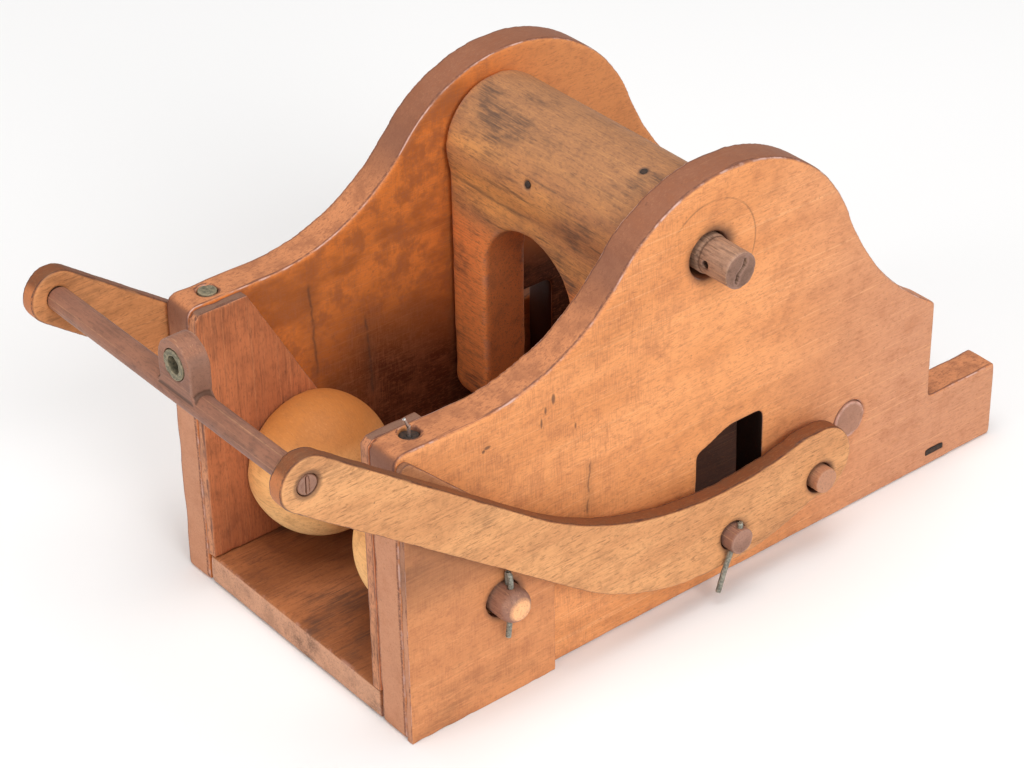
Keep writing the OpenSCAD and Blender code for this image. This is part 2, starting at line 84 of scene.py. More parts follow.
class Paint:
    # one material and the nodes that feed its shader
    def __init__(self, name, roughness, metallic=0.0, specular=0.5):
        self.material = bpy.data.materials.new(name)
        self.material.use_nodes = True
        self.tree = self.material.node_tree
        self.tree.nodes.clear()
        self.shader = self.tree.nodes.new("ShaderNodeBsdfPrincipled")
        self.shader.inputs["Roughness"].default_value = roughness
        self.shader.inputs["Metallic"].default_value = metallic
        self.shader.inputs["Specular IOR Level"].default_value = specular
        output = self.tree.nodes.new("ShaderNodeOutputMaterial")
        self.tree.links.new(self.shader.outputs[0], output.inputs["Surface"])
        objectPlace = self.node("ShaderNodeTexCoord", output="Object")
        self.place = self.scaled(objectPlace, (1 / mm, 1 / mm, 1 / mm))
        self.facing = self.node("ShaderNodeTexCoord", output="Normal")

    def node(self, kind, settings=None, sockets=None, output=0):
        made = self.tree.nodes.new(kind)
        for key, setting in (settings or {}).items():
            setattr(made, key, setting)
        for key, value in (sockets or {}).items():
            if isinstance(value, Value):
                self.tree.links.new(value.link, made.inputs[key])
            else:
                made.inputs[key].default_value = value
        return Value(self, made.outputs[output])

    def feed(self, socket, value):
        self.tree.links.new(value.link, self.shader.inputs[socket])

    def scaled(self, vector, scale):
        return self.node("ShaderNodeVectorMath", {"operation": "MULTIPLY"}, {0: vector, 1: scale})

    def axis(self, vector, index):
        return self.node("ShaderNodeSeparateXYZ", {}, {0: vector}, output=index)

    def noise(self, vector, detail=2.0, roughness=0.5):
        return self.node("ShaderNodeTexNoise", {}, {"Vector": vector, "Scale": 1.0, "Detail": detail,
                                                    "Roughness": roughness})

    def band(self, value, low, high):
        # 0 below low, 1 above high, and smooth between them
        return self.node("ShaderNodeMapRange", {"interpolation_type": "SMOOTHSTEP"},
                         {0: value, 1: low, 2: high, 3: 0.0, 4: 1.0})

    def tint(self, factor, first, second):
        colour = lambda c: c if isinstance(c, Value) else (*c, 1.0)
        return self.node("ShaderNodeMix", {"data_type": "RGBA"},
                         {0: factor, 6: colour(first), 7: colour(second)}, output=2)

    def worn(self, name):
        return self.node("ShaderNodeAttribute", {"attribute_name": name}, output="Fac")

    def bump(self, height, distance, strength=1.0):
        sockets = {"Strength": strength, "Distance": distance, "Height": height}
        self.feed("Normal", self.node("ShaderNodeBump", {}, sockets))


# wood: one look for all boards, rods and balls, with the changes that each paint makes to it
woodLook = {
    "grain": 1,                        # axis that the grain runs along
    "board": None,                     # axis across a board, whose narrow faces take the rim's colours
    "light": (0.8, 0.36, 0.15),
    "mid": (0.68, 0.29, 0.12),
    "dark": (0.4, 0.14, 0.06),
    "pale": (0.95, 0.52, 0.25),
    "end": (0.5, 0.24, 0.14),
    "rim": (0.4, 0.17, 0.09),
    "rimHigh": None,                   # colour of the narrow faces near the top of the press
    "rimLow": None,                    # colour of the narrow faces near its foot
    "rimDirt": (0.15, 0.06, 0.04),
    "inner": None,                     # colour of the faces turned towards the middle of the press
    # painted shade: near black, for the deepest part of the press and the faces inside the windows
    "void": (0.012, 0.005, 0.003),
    "shadowed": (0.1, 0.022, 0.008),   # painted shade: colour of the shaded depth of the press
    "low": None,                       # colour below the height lowFrom
    "lowFrom": (104.0, 98.0),
    "rear": None,                      # colour towards the tail
    "rearFrom": (10.0, 110.0),
    "upper": None,                     # colour of the faces that look up
    # pale colour of the arrises: rubbed wear and a painted highlight
    "arris": (0.72, 0.42, 0.34),
    "grimeColour": (0.1, 0.05, 0.032),
    "fibre": 0.35,
    "hatch": 0.0,                      # fine ticks across the grain, only in front of hatchFrom
    "hatchFrom": (-30.0, -75.0),
    "speckle": 0.4,
    "pores": 0.35,
    "streaks": 0.25,
    "grime": 0.3,
    "grimeSize": 26.0,
    "arrisStrength": 0.6,
    "roughness": 0.5,
    "relief": 0.06,
    "marks": None,
}


def woodPaint(name, **changes):
    look = {**woodLook, **changes}
    paint = Paint(name, look["roughness"], specular=0.22)
    facing = [paint.axis(paint.facing, k) for k in range(3)]
    place = [paint.axis(paint.place, k) for k in range(3)]

    def stretched(length, width):
        scale = [1 / (length if k == look["grain"] else width) for k in range(3)]
        return paint.scaled(paint.place, scale)

    broad = paint.noise(stretched(75, 17), 3, 0.55)
    fibre = paint.noise(stretched(13, 0.8), 4, 0.7)
    pores = paint.noise(stretched(3.6, 0.5), 2)
    streaks = paint.noise(stretched(110, 0.42), 2)
    hatch = paint.noise(stretched(0.36, 5), 2, 0.6)
    blotch = paint.noise(stretched(1.8 * look["grimeSize"], look["grimeSize"]), 5, 0.62)
    fleck = paint.noise(paint.scaled(paint.place, (0.55, 0.55, 0.55)), 3, 0.6)
    mottle = paint.noise(paint.scaled(paint.place, (0.16, 0.16, 0.16)), 4, 0.6)
    speckle = paint.noise(stretched(1.7, 0.7), 3, 0.7)

    colour = paint.tint(paint.band(broad, 0.36, 0.64), look["light"], look["mid"])
    if look["rear"]:
        rearward = paint.band(place[1] + 30 * blotch, *look["rearFrom"])
        colour = paint.tint(rearward, colour, look["rear"])
    if look["low"]:
        lower = paint.band(place[2] + 8 * (blotch - 0.5), *look["lowFrom"])
        colour = paint.tint(lower, colour, look["low"])
    sideways = 1.0
    if look["inner"]:
        # painted shade: low down inside the press the faces turned towards its middle darken to the shaded
        # colour, and to near black in its deepest part
        inward = paint.band(facing[0] * place[0], -12, -32)
        depth = paint.band(place[2] + 0.3 * place[1] + 40 * (blotch - 0.5), 78, 34)
        depth = depth * paint.band(place[1], -100, -52) * paint.band(place[1], 75, 35)
        inner = paint.tint(paint.band(place[1], -25, 25), look["inner"], look["mid"])
        # blotchy patches in the painted shade colour on the front part of these faces
        shadeBlotches = paint.band(mottle, 0.42, 0.66) * 0.45 | paint.band(blotch, 0.5, 0.66) * 0.5
        inner = paint.tint(shadeBlotches * paint.band(place[1], 5, -35), inner, look["shadowed"])
        deepest = paint.band(abs(place[1] - 8), 38, 22) * paint.band(place[2], 84, 62)
        shadow = paint.tint(deepest, look["shadowed"], look["void"])
        colour = paint.tint(inward, colour, paint.tint(depth | deepest, inner, shadow))
        sideways = 1 - 0.8 * inward
    if look["upper"]:
        colour = paint.tint(paint.band(facing[2], 0.0, 0.85), colour, look["upper"])
    endOn = abs(facing[look["grain"]])
    ends = paint.band(endOn, 0.7, 0.92)
    arris = paint.worn("edge")
    if look["board"] is not None:
        across = abs(facing[look["board"]])
        rim = look["rim"]
        if look["rimLow"]:
            rim = paint.tint(paint.band(place[2] + 20 * (blotch - 0.5), 88, 66), rim, look["rimLow"])
        if look["rimHigh"]:
            rim = paint.tint(paint.band(place[2], 112, 146), rim, look["rimHigh"])
        rim = paint.tint(paint.band(mottle, 0.4, 0.7) * 0.4, rim, look["rimDirt"])
        rim = paint.tint(paint.band(speckle, 0.48, 0.7) * 0.5, rim, look["rimDirt"])
        rim = paint.tint(ends, rim, look["end"])
        narrow = paint.band(across, 0.97, 0.6)
        colour = paint.tint(narrow, colour, rim)
        arris = paint.band(arris, 0.05, 0.3)
        arris = paint.band(across, 0.34, 0.56) * paint.band(across, 0.88, 0.7) * arris
        sooty = paint.band(across, 0.1, 0.24) * paint.band(across, 0.6, 0.42)
        sooty = sooty * paint.band(fibre, 0.66, 0.45)
        colour = paint.tint(sooty * 0.9, colour, look["rimDirt"])
        sideOn = 1 - narrow * 0.7
    else:
        colour = paint.tint(ends, colour, look["end"])
        sideOn = 1 - ends
    scratched = paint.band(streaks, 0.58, 0.72) * sideOn * sideways
    colour = paint.tint(scratched * look["streaks"], colour, look["pale"])
    colour = paint.tint(paint.band(fibre, 0.47, 0.74) * sideOn * look["fibre"], colour, look["dark"])
    if look["hatch"]:
        comb = paint.band(hatch, 0.42, 0.62) * paint.band(mottle, 0.3, 0.6)
        comb = comb * paint.band(place[1] - 0.3 * place[2], *look["hatchFrom"])
        colour = paint.tint(comb * sideOn * look["hatch"], colour, look["dark"])
    colour = paint.tint(paint.band(pores, 0.6, 0.7) * look["pores"], colour, look["dark"])
    colour = paint.tint(paint.band(mottle, 0.45, 0.75) * 0.35, colour, look["dark"])
    colour = paint.tint(paint.band(speckle, 0.5, 0.72) * look["speckle"], colour, look["dark"])
    bare = paint.band(speckle, 0.46, 0.3) * look["speckle"] * 0.4
    colour = paint.tint(bare * sideOn * sideways, colour, look["light"])
    grimy = paint.band(blotch, 0.5, 0.7) * paint.band(fibre, 0.3, 0.6)
    colour = paint.tint(grimy * look["grime"], colour, look["grimeColour"])
    colour = paint.tint(paint.band(fleck, 0.68, 0.76) * look["pores"], colour, look["grimeColour"])
    # pale arrises: worn wood rubbed pale, and a painted highlight along the rounded edges
    rubbedAndHighlit = arris * paint.band(mottle, 0.45, 0.62) * look["arrisStrength"]
    colour = paint.tint(rubbedAndHighlit, colour, look["arris"])
    # darker in the concave hollows of each piece
    colour = paint.tint(paint.worn("hollow") * 0.85, colour, look["grimeColour"])
    if look["marks"]:
        colour = paint.tint(look["marks"](paint), colour, look["grimeColour"])
    if look["inner"]:
        frontTop = paint.band(facing[1], -0.5, -0.9) * paint.band(place[2] + 14 * (mottle - 0.5), 72, 102)
        colour = paint.tint(frontTop * 0.75, colour, look["rimDirt"])
        # painted shade: the faces inside the windows are painted near black
        insideWindow = paint.band(abs(place[1] - 4), 19, 14) * paint.band(abs(place[2] - 38), 26, 20)
        colour = paint.tint(insideWindow * paint.band(abs(facing[0]), 0.85, 0.6), colour, look["void"])
    paint.feed("Base Color", colour)

    sheen = (look["roughness"] - 0.12) + 0.3 * blotch + 0.1 * fibre - 0.12 * arris
    paint.feed("Roughness", sheen)
    tickDepth = 0.35 if look["hatch"] else 0.105
    height = 0.5 * fibre + tickDepth * hatch - 0.4 * paint.band(pores, 0.6, 0.7)
    paint.bump(height + 0.8 * mottle, look["relief"] * mm * 4, 0.5)
    return paint.material


# marks on single boards, in millimetres in the side view: (y, z) places and widths
pressMarks = {
    "circleRadius": 18.3,
    "rightCracks": [((-54.5, 71.5), (-55.9, 50.0), 0.5)],
    "leftCracks": [((-82.0, 97.1), (-80.5, 58.5), 0.9), ((-60.7, 76.4), (-58.8, 42.3), 0.8)],
    "flecks": [(-68.9, 99.2, 0.9, 2.2), (-72.0, 96.3, 0.6, 1.8), (-94.1, 92.9, 1.5, 0.7),
               (-60.4, 86.0, 0.5, 1.5), (-95.6, 92.1, 0.7, 0.7), (-73.6, 92.5, 0.5, 2.4)],
}
sideView = {"shaft": (-6.5, 125.0), "axle": (-91.3, 38.0), "pin": (-3.0, 23.2), "peg": (35.2, 28.6),
            "tenon": (-164.5, 117.1)}


def distanceTo(paint, centre):
    dy = paint.axis(paint.place, 1) - centre[0]
    dz = paint.axis(paint.place, 2) - centre[1]
    return (dy * dy + dz * dz).calc("SQRT", dy * dy + dz * dz)


def crackMask(paint, cracks):
    wander = paint.noise(paint.scaled(paint.place, (0.2, 0.2, 0.2)), 3)
    across = paint.axis(paint.place, 1) + 2.2 * (wander - 0.5)
    up = paint.axis(paint.place, 2)
    total = None
    for (y0, z0), (y1, z1), width in cracks:
        share = (up - z0) / (z1 - z0)
        offset = abs(across - (share * (y1 - y0) + y0))
        line = paint.band(offset, width, 0) * 0.6 * paint.band(wander, 0.3, 0.5)
        line = line + paint.band(offset, 6 * width, 0) * 0.25
        mask = line * paint.band(share, 0, 0.12) * paint.band(share, 1, 0.88)
        total = mask if total is None else total | mask
    return total * 0.8


def rightCheekMarks(paint):
    y = paint.axis(paint.place, 1)
    z = paint.axis(paint.place, 2)
    distance = distanceTo(paint, sideView["shaft"])
    ring = paint.band(abs(distance - pressMarks["circleRadius"]), 0.45, 0.1)
    fade = paint.noise(paint.scaled(paint.place, (0.12, 0.12, 0.12)), 2)
    ring = ring * paint.band(y + z - 118.5, -6, 8) * paint.band(fade, 0.3, 0.5) * 0.4
    total = ring | crackMask(paint, pressMarks["rightCracks"])
    for cy, cz, ry, rz in pressMarks["flecks"]:
        ey = (y - cy) / ry
        ez = (z - cz) / rz
        size = (ey * ey + ez * ez) + 1.2 * fade
        total = total | paint.band(size, 1.6, 0.7) * 0.75
    halo = paint.band(distance, 12.0, 7.4) * paint.band(fade, 0.25, 0.5) * 0.8
    outward = paint.band(paint.axis(paint.facing, 0), 0.2, 0.6)
    return (total | halo) * outward


def leftCheekMarks(paint):
    return crackMask(paint, pressMarks["leftCracks"]) * paint.band(paint.axis(paint.facing, 0), 0.2, 0.6)


def padMarks(paint):
    above = paint.band(paint.axis(paint.place, 2), 40, 58) * 0.35
    return paint.band(distanceTo(paint, sideView["axle"]), 9.0, 6.0) * 0.75 | above


def armMarks(paint):
    pin = paint.band(distanceTo(paint, sideView["pin"]), 7.5, 4.8) * 0.6
    tenon = paint.band(abs(distanceTo(paint, sideView["tenon"]) - 4.0), 1.4, 0.2) * 0.6
    return pin | paint.band(distanceTo(paint, sideView["peg"]), 7.5, 4.9) * 0.8 | tenon


# nail heads in the hub, from their distance along the shaft and their angle above its front
hubNails = [(-4, 12), (34, 75)]
hubRadius = 21
nailHeads = [(x, sideView["shaft"][0] - hubRadius * math.cos(math.radians(a)),
              sideView["shaft"][1] + hubRadius * math.sin(math.radians(a))) for x, a in hubNails]


def yokeMarks(paint):
    # painted shade in a thin line under the ridge where the hub meets the slab, and dirt in streaks along
    # it
    up = paint.axis(paint.place, 2)
    wander = paint.noise(paint.scaled(paint.place, (0.05, 0.3, 0.3)), 3)
    ridge = paint.band(abs(up + 2.6 * (wander - 0.5) - 116.2), 1.2, 0.2)
    ridge = ridge * paint.band(wander, 0.35, 0.6) * 0.6
    streaks = paint.noise(paint.scaled(paint.place, (0.035, 0.4, 0.4)), 4, 0.65)
    dirt = paint.band(streaks, 0.56, 0.7) * paint.band(up, 96, 112) * paint.band(up, 150, 118) * 0.65
    total = (ridge | dirt) * paint.band(paint.axis(paint.facing, 1), 0.1, -0.3)
    for centre in nailHeads:
        away = paint.node("ShaderNodeVectorMath", {"operation": "DISTANCE"}, {0: paint.place, 1: centre},
                          output="Value")
        total = total | paint.band(away, 2.3, 1.0)
    return total


# metal

def metalPaint(name, base, tarnish, roughness, metallic, grain=0.9):
    paint = Paint(name, roughness, metallic)
    spots = paint.noise(paint.scaled(paint.place, (grain, grain, grain)), 4, 0.65)
    fine = paint.noise(paint.scaled(paint.place, (4.0, 4.0, 4.0)), 3)
    colour = paint.tint(paint.band(spots, 0.35, 0.65), base, tarnish)
    colour = paint.tint(paint.worn("edge") * 0.4, colour, [1.5 * c for c in base])
    paint.feed("Base Color", colour)
    paint.feed("Roughness", roughness + 0.3 * spots)
    paint.bump(spots + 0.4 * fine, 0.12 * mm, 0.5)
    return paint.material


# mesh helpers

def only(piece):
    bpy.ops.object.select_all(action="DESELECT")
    piece.select_set(True)
    bpy.context.view_layer.objects.active = piece


def finishWith(piece, kind, **settings):
    only(piece)
    modifier = piece.modifiers.new(kind.title(), kind)
    for key, setting in settings.items():
        setattr(modifier, key, setting)
    bpy.ops.object.modifier_apply(modifier=modifier.name)


def copyOf(node, name):
    piece = bpy.data.objects.new(name, frame["nodes"][node].data.copy())
    bpy.context.scene.collection.objects.link(piece)
    piece.data.materials.clear()
    only(piece)
    bpy.ops.object.mode_set(mode="EDIT")
    bpy.ops.mesh.select_all(action="SELECT")
    bpy.ops.mesh.remove_doubles(threshold=0.01 * mm)
    bpy.ops.object.mode_set(mode="OBJECT")
    return piece


def readPoints(mesh, key="co"):
    points = np.empty(len(mesh.vertices) * 3, np.float32)
    mesh.vertices.foreach_get(key, points)
    return points.reshape(-1, 3).astype(float)


def writePoints(mesh, points):
    mesh.vertices.foreach_set("co", points.astype(np.float32).ravel())
    mesh.update()


def noiseAt(points, size, seed):
    shifted = points / size + seed
    return np.array([noise.noise(p) for p in shifted.tolist()])


def weather(piece, roundness, dent, dentSize, wobble, seed):
    # dents the edges, makes faces a little uneven, and keeps edges and hollows for the paint
    mesh = piece.data
    points = readPoints(mesh)
    normals = readPoints(mesh, "normal")
    pairs = np.empty(len(mesh.edges) * 2, np.int64)
    mesh.edges.foreach_get("vertices", pairs)
    first, second = pairs.reshape(-1, 2).T
    count = len(points)
    around = np.maximum(np.bincount(pairs, minlength=count), 1)

    def average(values):
        summed = np.bincount(first, values[second], count) + np.bincount(second, values[first], count)
        return summed / around

    lift = sum((average(points[:, k]) - points[:, k]) * normals[:, k] for k in range(3))
    gap = points[first] - points[second]
    bend = -4 * lift / np.mean((gap * gap).sum(1)) * mm
    for _ in range(3):
        bend = 0.5 * bend + 0.5 * average(bend)
    edge = np.clip((bend - roundness) / 0.22, 0, 1)
    hollow = np.clip((-bend - 0.05) / 0.2, 0, 1)
    chips = np.clip(noiseAt(points, dentSize * mm, seed), 0, 1)
    waves = 0.5 + 0.5 * noiseAt(points, 22 * mm, seed + 7)
    inward = edge * chips * dent + np.clip(waves, 0, 1) * wobble
    writePoints(mesh, points - normals * inward[:, None] * mm)
    for key, values in (("edge", edge), ("hollow", hollow)):
        attribute = mesh.attributes.new(key, "FLOAT", "POINT")
        attribute.data.foreach_set("value", values.astype(np.float32))


def widenHole(piece, centre, radius, reach, wider, towards):
    # wears a hole along X larger, most of all towards one side; lengths in millimetres
    points = readPoints(piece.data) / mm
    offset = points[:, 1:] - np.array(centre)
    distance = np.hypot(offset[:, 0], offset[:, 1])
    side = offset @ np.array([math.cos(towards), math.sin(towards)]) / np.maximum(distance, 1e-6)
    grown = wider * (0.6 + 0.4 * side)
    share = np.clip((reach - distance) / (reach - radius), 0, 1.1)
    change = (distance + share * grown) / np.maximum(distance, 1e-6)
    near = (distance < reach) & (distance > 0.4 * radius)
    points[near, 1:] = np.array(centre) + offset[near] * change[near, None]
    writePoints(piece.data, points * mm)


def finished(piece, node, material):
    piece.data.materials.clear()
    piece.data.materials.append(material)
    only(piece)
    bpy.ops.object.shade_smooth()
    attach(piece, bodyOf[node])
    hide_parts(node)
    return piece


# camera, floor and lights; places in metres, power in watts

view = {"place": (631.3, -540.6, 593.0), "azimuth": 51.44, "elevation": 33.36, "roll": -1.08, "lens": 105.7}
studio = {
    "floor": 12.0,
    "floorColour": (0.93, 0.925, 0.92),
    "sky": 0.4,
    "lights": [
        ("keyLight", (1.9, -0.35, 1.25), 1.1, 26.0),
        ("topLight", (0.1, -0.1, 2.0), 1.2, 19.0),
        ("frontLight", (-0.2, -2.0, 0.8), 1.2, 13.0),
    ],
}


def makeCamera():
    azimuth, elevation, roll = (math.radians(view[k]) for k in ("azimuth", "elevation", "roll"))
    back = Vector((math.sin(azimuth) * math.cos(elevation), -math.cos(azimuth) * math.cos(elevation),
                   math.sin(elevation)))
    level = Vector((math.cos(azimuth), math.sin(azimuth), 0))
    upright = back.cross(level)
    right = math.cos(roll) * level + math.sin(roll) * upright
    up = math.cos(roll) * upright - math.sin(roll) * level
    bpy.ops.object.camera_add()
    camera = bpy.context.object
    camera.matrix_world = Matrix.Translation(Vector(view["place"]) * mm) @ Matrix(
        (right, up, back)).transposed().to_4x4()
    camera.data.lens = view["lens"]
    camera.data.sensor_width = 36
    camera.data.clip_start = 0.01
    bpy.context.scene.camera = camera


def makeStudio():
    bpy.ops.mesh.primitive_grid_add(x_subdivisions=4, y_subdivisions=4, size=studio["floor"])
    floor = bpy.context.object
    floor.name = "studioFloor"
    paint = Paint("paleFloor", 0.85, specular=0.1)
    cloud = paint.noise(paint.scaled(paint.place, (0.002, 0.002, 0.002)), 2)
    whiter = [min(1.0, 1.01 * c) for c in studio["floorColour"]]
    paint.feed("Base Color", paint.tint(cloud, studio["floorColour"], whiter))
    floor.data.materials.append(paint.material)
    world = bpy.data.worlds.new("studioAir")
    world.use_nodes = True
    world.node_tree.nodes["Background"].inputs[0].default_value = (1, 1, 1, 1)
    world.node_tree.nodes["Background"].inputs[1].default_value = studio["sky"]
    bpy.context.scene.world = world
    for name, place, size, power in studio["lights"]:
        bpy.ops.object.light_add(type="AREA", location=place)
        light = bpy.context.object
        light.name = name
        light.data.size = size
        light.data.energy = power
        light.rotation_euler = (Vector((0, 0, 0.06)) - Vector(place)).to_track_quat("-Z", "Y").to_euler()
    bpy.context.scene.view_settings.view_transform = "Standard"


makeCamera()
makeStudio()
print("camera and studio ready")


# the paints

cheekLook = {
    "board": 0, "hatch": 0.36, "fibre": 0.3, "grime": 0.12, "streaks": 0.35, "pores": 0.35,
    "light": (0.86, 0.36, 0.135), "mid": (0.74, 0.29, 0.1), "rear": (0.62, 0.285, 0.155),
    "rim": (0.6, 0.235, 0.1), "rimHigh": (0.3, 0.12, 0.065), "rimLow": (0.66, 0.26, 0.115),
    "inner": (0.72, 0.215, 0.045), "end": (0.56, 0.255, 0.14), "arris": (0.68, 0.43, 0.36),
    "arrisStrength": 0.8, "speckle": 0.5,
}
pegLook = {"grain": 0, "grimeSize": 9.0, "arris": (0.5, 0.3, 0.22), "dark": (0.12, 0.06, 0.045),
           "roughness": 0.42, "arrisStrength": 0.25}
armLook = {"board": 0, "arris": (0.6, 0.29, 0.14), "rim": (0.22, 0.07, 0.026), "end": (0.5, 0.17, 0.06),
           "rimDirt": (0.08, 0.035, 0.026), "dark": (0.27, 0.115, 0.045), "grime": 0.35, "pores": 0.6,
           "fibre": 0.5, "arrisStrength": 0.3, "speckle": 0.45, "marks": armMarks}
paints = {
    "rightCheek": woodPaint("oiledCherryRight", **cheekLook, marks=rightCheekMarks),
    # the left cheek's painted shade inside its window is a little lighter and redder
    "leftCheek": woodPaint("oiledCherryLeft", **cheekLook, void=(0.06, 0.015, 0.006), marks=leftCheekMarks),
    "pad": woodPaint("padCherry", **{**cheekLook, "inner": None, "light": (0.72, 0.3, 0.12), "rear": None,
                                     "mid": (0.62, 0.25, 0.1), "grime": 0.4, "hatch": 0.25, "streaks": 0.2,
                                     "hatchFrom": (100.0, 50.0), "rimLow": None, "rim": (0.5, 0.2, 0.09),
                                     "marks": padMarks}),
    # the floor darkens to near black towards the back of the press: painted shade, over the floor's own
    # grime
    "floor": woodPaint("grimyShadedFloor", light=(0.42, 0.15, 0.055), mid=(0.27, 0.092, 0.033),
                       dark=(0.12, 0.042, 0.022), end=(0.6, 0.31, 0.185), grime=0.8,
                       grimeSize=18.0, fibre=0.6, streaks=0.1,
                       rear=(0.06, 0.025, 0.016), rearFrom=(-60.0, 0.0)),
    "liner": woodPaint("redLiner", grain=2, board=0, light=(0.6, 0.205, 0.085),
                       mid=(0.46, 0.15, 0.062), arris=(0.42, 0.19, 0.12),
                       dark=(0.17, 0.06, 0.035), end=(0.25, 0.13, 0.085), rim=(0.6, 0.25, 0.12), grime=0.5,
                       fibre=0.6, streaks=0.15),
    "yoke": woodPaint("yokeWood", grain=0, light=(0.8, 0.35, 0.105), mid=(0.46, 0.19, 0.08),
                      dark=(0.17, 0.085, 0.055), end=(0.74, 0.24, 0.075), low=(0.84, 0.27, 0.08),
                      lowFrom=(108.0, 96.0), grime=0.75, grimeSize=15.0, fibre=0.4, pale=(0.95, 0.5, 0.17),
                      streaks=0.15, pores=0.45, upper=(0.44, 0.2, 0.088), marks=yokeMarks,
                      grimeColour=(0.075, 0.05, 0.042), arrisStrength=0.15, speckle=0.5),
    "shaft": woodPaint("shaftWood", grain=0, light=(0.42, 0.25, 0.165), mid=(0.3, 0.165, 0.105),
                       dark=(0.12, 0.07, 0.05), end=(0.27, 0.145, 0.1), grime=0.7, grimeSize=6.0, fibre=0.7,
                       relief=0.2, arrisStrength=0.15),
    # the balls' lower half is painted brighter: painted light in place of light bounced up from the floor
    "ball": woodPaint("ballWood", grain=0, light=(0.96, 0.52, 0.2), mid=(0.84, 0.4, 0.14),
                      dark=(0.42, 0.16, 0.05), end=(0.82, 0.42, 0.16), grime=0.2, fibre=0.4,
                      streaks=0.0, low=(1.0, 0.68, 0.32), lowFrom=(44.0, 16.0),
                      upper=(0.56, 0.205, 0.05), arrisStrength=0.15, speckle=0.25),
    # the far arm takes a darker, more orange copy of the arm wood: painted shade
    "leftArm": woodPaint("leftArmShadedWood", **{**armLook, "light": (0.62, 0.26, 0.1), "mid": (0.5, 0.2, 0.075),
                                           "pale": (0.7, 0.36, 0.16), "marks": None}),
    "rightArm": woodPaint("rightArmWood", **armLook, light=(0.76, 0.37, 0.155), mid=(0.64, 0.29, 0.118),
                          pale=(0.88, 0.5, 0.23)),
    "bar": woodPaint("barWood", **{**pegLook, "light": (0.34, 0.15, 0.09), "mid": (0.25, 0.11, 0.072),
                                   "end": (0.3, 0.15, 0.1), "grime": 0.4, "fibre": 0.4}),
    "pin": woodPaint("pinWood", **{**pegLook, "light": (0.3, 0.15, 0.105), "mid": (0.22, 0.11, 0.078),
                                   "end": (0.38, 0.2, 0.14), "grime": 0.4, "fibre": 0.35}),
    "peg": woodPaint("pegWood", **{**pegLook, "light": (0.52, 0.24, 0.13), "mid": (0.4, 0.175, 0.1),
                                   "end": (0.52, 0.25, 0.145), "grime": 0.5, "fibre": 0.35}),
    # the domes' end-on centres are painted pale orange: a painted highlight
    "axle": woodPaint("axleWood", **{**pegLook, "light": (0.4, 0.2, 0.13), "mid": (0.3, 0.15, 0.11),
                                     "end": (1.0, 0.5, 0.24), "grime": 0.2, "fibre": 0.3,
                                     "roughness": 0.34}),
    "stretcher": woodPaint("stretcherWood", grain=0, light=(0.5, 0.26, 0.17), mid=(0.44, 0.22, 0.145),
                           dark=(0.24, 0.12, 0.08), end=(0.43, 0.215, 0.14), grime=0.45, grimeSize=8.0),
    "brass": metalPaint("tarnishedBrass", (0.3, 0.25, 0.16), (0.13, 0.12, 0.08), 0.55, 0.35),
    "wire": metalPaint("oldWire", (0.34, 0.33, 0.27), (0.13, 0.13, 0.11), 0.45, 0.4, 1.6),
    "iron": metalPaint("rustyIron", (0.03, 0.025, 0.022), (0.09, 0.05, 0.034), 0.6, 0.4),
    "bright": metalPaint("brightWire", (0.75, 0.74, 0.72), (0.4, 0.39, 0.38), 0.3, 1.0),
}
print("paints ready")


# worn pieces, each from its own solid

